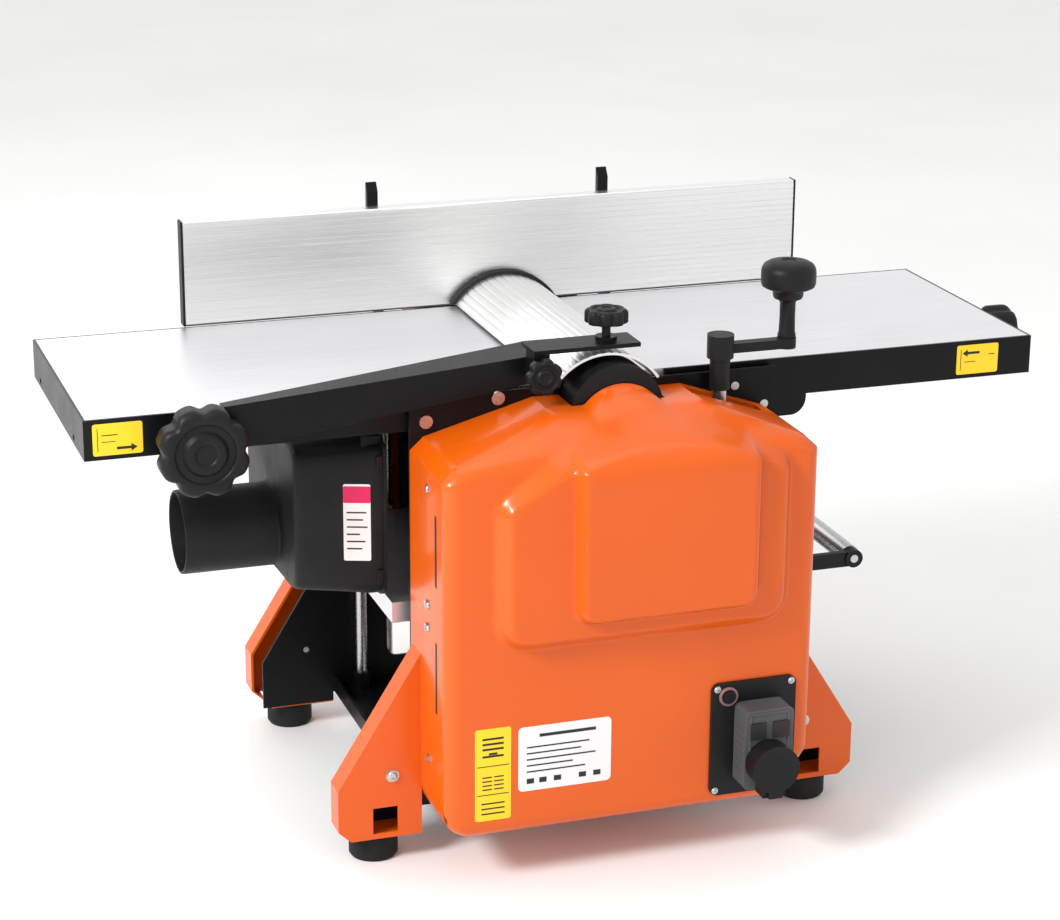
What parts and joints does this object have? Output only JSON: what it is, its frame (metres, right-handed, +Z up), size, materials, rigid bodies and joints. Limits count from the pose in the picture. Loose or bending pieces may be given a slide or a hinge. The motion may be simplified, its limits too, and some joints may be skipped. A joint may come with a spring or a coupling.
{
  "type": "thickness planer",
  "caption": "Benchtop combined surface planer and thicknesser: folding-sheet body on rubber feet, long silver tables, tilting fence, bridge guard, crank-raised bed and dust hood.",
  "frame": {"origin": "centre of the overall box in plan, at floor level under the feet", "axes": "+X along the tables from infeed to outfeed, +Y from the operator side towards the fence, +Z up"},
  "size_m": [0.958, 0.5034, 0.569],
  "materials": {
    "orange_paint": "glossy orange enamel over folded sheet steel",
    "black_paint": "satin black powder coat",
    "table_alloy": "machined and anodised, matt silver",
    "bright_steel": "turned or zinc plated steel",
    "cast_grey": "dark grey paint on a cast motor shell",
    "brass_nut": "machined brass",
    "black_plastic": "fine-textured black moulding",
    "grey_plastic": "dark grey moulding",
    "green_plastic": "green push button",
    "red_plastic": "red push button",
    "reset_plastic": "black reset button",
    "black_rubber": "moulded black rubber"
  },
  "bodies": {
    "machine": {"base_plate": "black_paint", "side_frame_front": "black_paint", "side_frame_rear": "black_paint", "guide_columns": "bright_steel", "leg_plates": "orange_paint", "rubber_feet": "black_rubber", "drive_tray": "orange_paint", "drive_cover": "orange_paint", "cutter_cap": "black_plastic", "gear_cover": "orange_paint", "frame_screws": "bright_steel", "outfeed_top": "table_alloy", "outfeed_frame": "black_paint", "bearing_units": "bright_steel", "motor_housing": "cast_grey", "drive_belt": "black_rubber", "feed_chain": "bright_steel", "lift_chain": "bright_steel", "fence_brackets": "black_paint", "switch_plate": "black_plastic", "switch_body": "grey_plastic", "mains_inlet": "black_plastic"},
    "cutter": {"cutterblock": "bright_steel", "planer_knives": "bright_steel", "knife_clamps": "bright_steel", "cutter_pulley": "bright_steel"},
    "motor": {"motor_rotor": "cast_grey"},
    "gear_1": {"reduction_gear_1": "bright_steel"},
    "gear_2": {"reduction_gear_2": "bright_steel"},
    "gear_3": {"reduction_gear_3": "bright_steel"},
    "infeed_roller": {"toothed_roller": "bright_steel"},
    "outfeed_roller": {"rubber_roller": "black_rubber"},
    "pawls": {"kickback_pawls": "bright_steel"},
    "crank": {"front_screw": "bright_steel", "crank_arm": "black_plastic"},
    "crank_grip": {"crank_knob": "black_plastic"},
    "far_screw": {"rear_screw": "bright_steel"},
    "bed": {"thicknesser_table": "table_alloy", "lift_nuts": "brass_nut", "extension_arms": "black_plastic"},
    "support_roller": {"extension_roller": "bright_steel"},
    "infeed": {"infeed_top": "table_alloy", "infeed_frame": "black_paint", "infeed_bolts": "bright_steel"},
    "depth_dial": {"depth_knob": "black_plastic"},
    "arm": {"guard_arm": "black_paint"},
    "guard": {"guard_cover": "table_alloy", "guard_trim": "black_rubber"},
    "guard_clamp": {"guard_top_knob": "black_plastic"},
    "arm_clamp": {"guard_side_knob": "black_plastic"},
    "end_knob": {"outfeed_knob": "black_plastic"},
    "fence": {"fence_face": "table_alloy", "fence_arms": "black_paint"},
    "fence_clamp_left": {"fence_knob_left": "black_plastic"},
    "fence_clamp_right": {"fence_knob_right": "black_plastic"},
    "hood": {"dust_hood": "black_plastic"},
    "start": {"start_button": "green_plastic"},
    "stop": {"stop_button": "red_plastic"},
    "reset": {"reset_button": "reset_plastic"},
    "inlet_flap": {"inlet_cap": "black_plastic"}
  },
  "joints": [
    {"name": "cutter_spin", "type": "hinge", "parent": "machine", "child": "cutter", "pos_m": [-0.01, 0.05515, 0.417], "axis": [0, -1, 0], "continuous": true},
    {"name": "motor_spin", "type": "hinge", "parent": "machine", "child": "motor", "pos_m": [0.023, -0.17485, 0.318], "axis": [0, -1, 0], "continuous": true},
    {"name": "gear_1_spin", "type": "hinge", "parent": "machine", "child": "gear_1", "pos_m": [-0.01, 0.21515, 0.3795], "axis": [0, -1, 0], "continuous": true},
    {"name": "gear_2_spin", "type": "hinge", "parent": "machine", "child": "gear_2", "pos_m": [-0.01, 0.22515, 0.342], "axis": [0, -1, 0], "continuous": true},
    {"name": "gear_3_spin", "type": "hinge", "parent": "machine", "child": "gear_3", "pos_m": [-0.01, 0.23215, 0.3045], "axis": [0, -1, 0], "continuous": true},
    {"name": "infeed_roller_spin", "type": "hinge", "parent": "machine", "child": "infeed_roller", "pos_m": [0.048, 0.05515, 0.408], "axis": [0, -1, 0], "continuous": true},
    {"name": "outfeed_roller_spin", "type": "hinge", "parent": "machine", "child": "outfeed_roller", "pos_m": [-0.068, 0.05515, 0.408], "axis": [0, -1, 0], "continuous": true},
    {"name": "pawl_swing", "type": "hinge", "parent": "machine", "child": "pawls", "pos_m": [0.085, 0.05515, 0.408], "axis": [0, 1, 0], "range_deg": [0, 40]},
    {"name": "crank_turn", "type": "hinge", "parent": "machine", "child": "crank", "pos_m": [0.107, -0.10285, 0.455], "axis": [0, 0, 1], "range_deg": [0, 17640]},
    {"name": "crank_grip_spin", "type": "hinge", "parent": "crank", "child": "crank_grip", "pos_m": [0.173, -0.10285, 0.5], "axis": [0, 0, 1], "continuous": true},
    {"name": "far_screw_turn", "type": "hinge", "parent": "machine", "child": "far_screw", "pos_m": [-0.127, 0.21315, 0.2], "axis": [0, 0, 1], "range_deg": [0, 17640]},
    {"name": "bed_lift", "type": "slide", "parent": "machine", "child": "bed", "axis": [0, 0, 1], "range_m": [0, 0.147]},
    {"name": "support_roller_spin", "type": "hinge", "parent": "bed", "child": "support_roller", "pos_m": [0.269, 0.05515, 0.227], "axis": [0, 1, 0], "continuous": true},
    {"name": "infeed_height", "type": "slide", "parent": "machine", "child": "infeed", "axis": [0, 0, 1], "range_m": [-0.003, 0]},
    {"name": "depth_dial_turn", "type": "hinge", "parent": "infeed", "child": "depth_dial", "pos_m": [-0.381, -0.10285, 0.416], "axis": [0, 1, 0], "range_deg": [-330, 0]},
    {"name": "guard_arm_lift", "type": "hinge", "parent": "infeed", "child": "arm", "pos_m": [-0.356, -0.09485, 0.424], "axis": [0, -1, 0], "range_deg": [0, 12]},
    {"name": "guard_reach", "type": "slide", "parent": "arm", "child": "guard", "axis": [0, -1, 0], "range_m": [0, 0.2]},
    {"name": "guard_clamp_turn", "type": "hinge", "parent": "arm", "child": "guard_clamp", "pos_m": [-0.005, -0.10185, 0.49], "axis": [0, 0, 1], "range_deg": [-180, 180]},
    {"name": "arm_clamp_turn", "type": "hinge", "parent": "arm", "child": "arm_clamp", "pos_m": [-0.073, -0.11485, 0.459], "axis": [0, 1, 0], "range_deg": [-180, 180]},
    {"name": "end_knob_turn", "type": "hinge", "parent": "machine", "child": "end_knob", "pos_m": [0.46, 0.02715, 0.416], "axis": [1, 0, 0], "range_deg": [-180, 180]},
    {"name": "fence_tilt", "type": "hinge", "parent": "machine", "child": "fence", "pos_m": [-0.01, 0.22315, 0.452], "axis": [-1, 0, 0], "range_deg": [0, 45]},
    {"name": "fence_clamp_left_turn", "type": "hinge", "parent": "machine", "child": "fence_clamp_left", "pos_m": [-0.12, 0.22315, 0.452], "axis": [1, 0, 0], "range_deg": [-180, 180]},
    {"name": "fence_clamp_right_turn", "type": "hinge", "parent": "machine", "child": "fence_clamp_right", "pos_m": [0.121, 0.22315, 0.452], "axis": [1, 0, 0], "range_deg": [-180, 180]},
    {"name": "hood_pull", "type": "slide", "parent": "machine", "child": "hood", "axis": [-1, 0, 0], "range_m": [0, 0.12]},
    {"name": "start_press", "type": "slide", "parent": "machine", "child": "start", "axis": [0, 1, 0], "range_m": [0, 0.003], "stiffness_N_per_m": 400, "springref_m": -0.0005},
    {"name": "stop_press", "type": "slide", "parent": "machine", "child": "stop", "axis": [0, 1, 0], "range_m": [0, 0.003], "stiffness_N_per_m": 400, "springref_m": -0.0005},
    {"name": "reset_press", "type": "slide", "parent": "machine", "child": "reset", "axis": [0, 1, 0], "range_m": [0, 0.002], "stiffness_N_per_m": 400, "springref_m": -0.0005},
    {"name": "inlet_flap_lift", "type": "hinge", "parent": "machine", "child": "inlet_flap", "pos_m": [0.112, -0.24485, 0.0775], "axis": [1, 0, 0], "range_deg": [0, 110], "stiffness_Nm_per_rad": 0.01, "springref_deg": -17.19}
  ],
  "couplings": [
    {"joint": "motor_spin", "follows": "cutter_spin", "ratio": 2.2727},
    {"joint": "gear_1_spin", "follows": "cutter_spin", "ratio": -0.2},
    {"joint": "gear_2_spin", "follows": "cutter_spin", "ratio": 0.04},
    {"joint": "gear_3_spin", "follows": "cutter_spin", "ratio": -0.008},
    {"joint": "infeed_roller_spin", "follows": "cutter_spin", "ratio": -0.008},
    {"joint": "outfeed_roller_spin", "follows": "cutter_spin", "ratio": -0.008},
    {"joint": "far_screw_turn", "follows": "crank_turn", "ratio": 1},
    {"joint": "bed_lift", "follows": "crank_turn", "m_per_rad": 0.00047746},
    {"joint": "infeed_height", "follows": "depth_dial_turn", "m_per_rad": 0.00052087}
  ]
}
